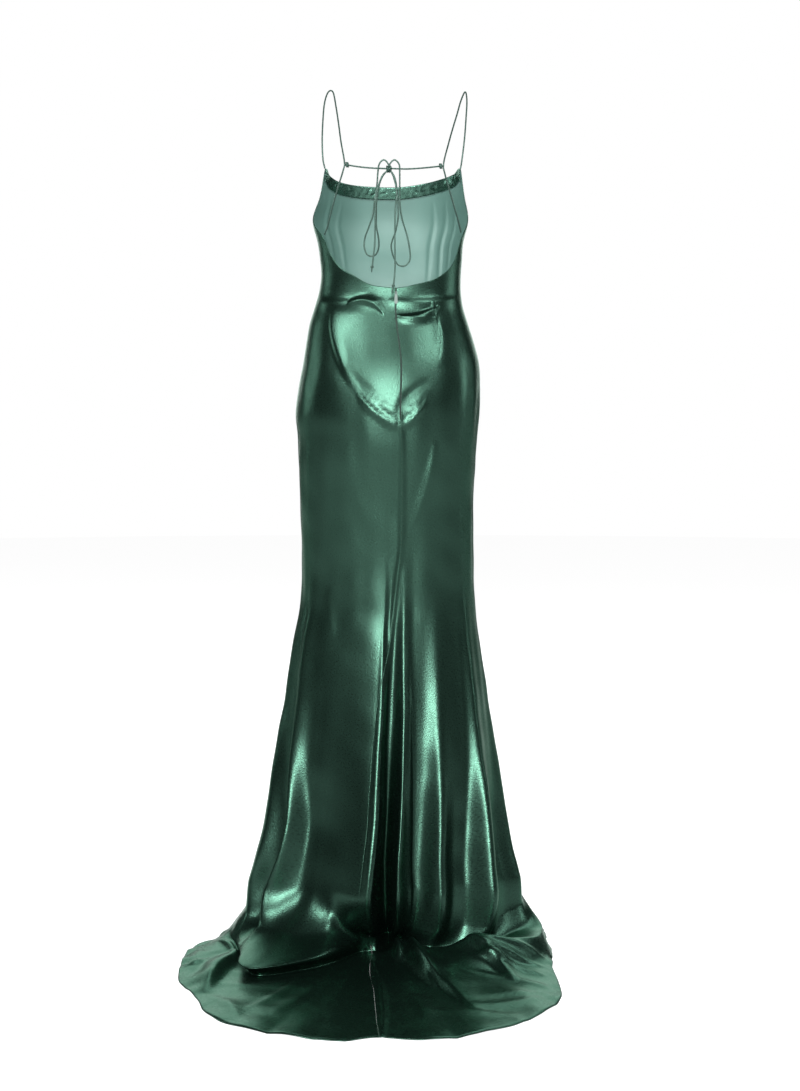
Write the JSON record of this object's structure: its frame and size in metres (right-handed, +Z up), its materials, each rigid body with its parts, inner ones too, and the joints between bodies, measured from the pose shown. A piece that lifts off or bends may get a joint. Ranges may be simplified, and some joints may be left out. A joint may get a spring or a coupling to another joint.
{
  "type": "slip dress",
  "caption": "Long satin slip gown with rouleau straps, an open tied back with a long bow, a concealed back zip and a flared skirt with a train, worn form.",
  "frame": {"origin": "midway between the tops of the straps, where shoulders carry the gown", "axes": "+Z up, the front faces -Y, the train runs out to +Y, the wearer's left is +X"},
  "size_m": [0.6481, 0.9286, 1.5244],
  "materials": {
    "satin": "glossy satin",
    "facing_satin": "glossy satin",
    "rouleau": "satin",
    "zip_tape": "matte",
    "zip_enamel": "enamelled"
  },
  "bodies": {
    "gown": {"front_panel": "satin", "back_left_panel": "satin", "back_right_panel": "satin", "front_neck_facing": "facing_satin", "zip_tape": "zip_tape", "zip_slider": "zip_enamel", "strap_left": "rouleau", "strap_right": "rouleau", "strap_knot_left": "rouleau", "strap_knot_right": "rouleau", "tie_left": "rouleau", "tie_right": "rouleau", "bow_knot": "rouleau", "bow_loop_left": "rouleau", "bow_loop_right": "rouleau", "bow_end_left": "rouleau", "bow_end_right": "rouleau"},
    "pull": {"zip_pull": "zip_enamel"}
  },
  "joints": [
    {"name": "pull_swing", "type": "hinge", "parent": "gown", "child": "pull", "pos_m": [-0.01294, 0.08684, -0.35437], "axis": [1, 0, 0], "range_deg": [0, 100]}
  ]
}
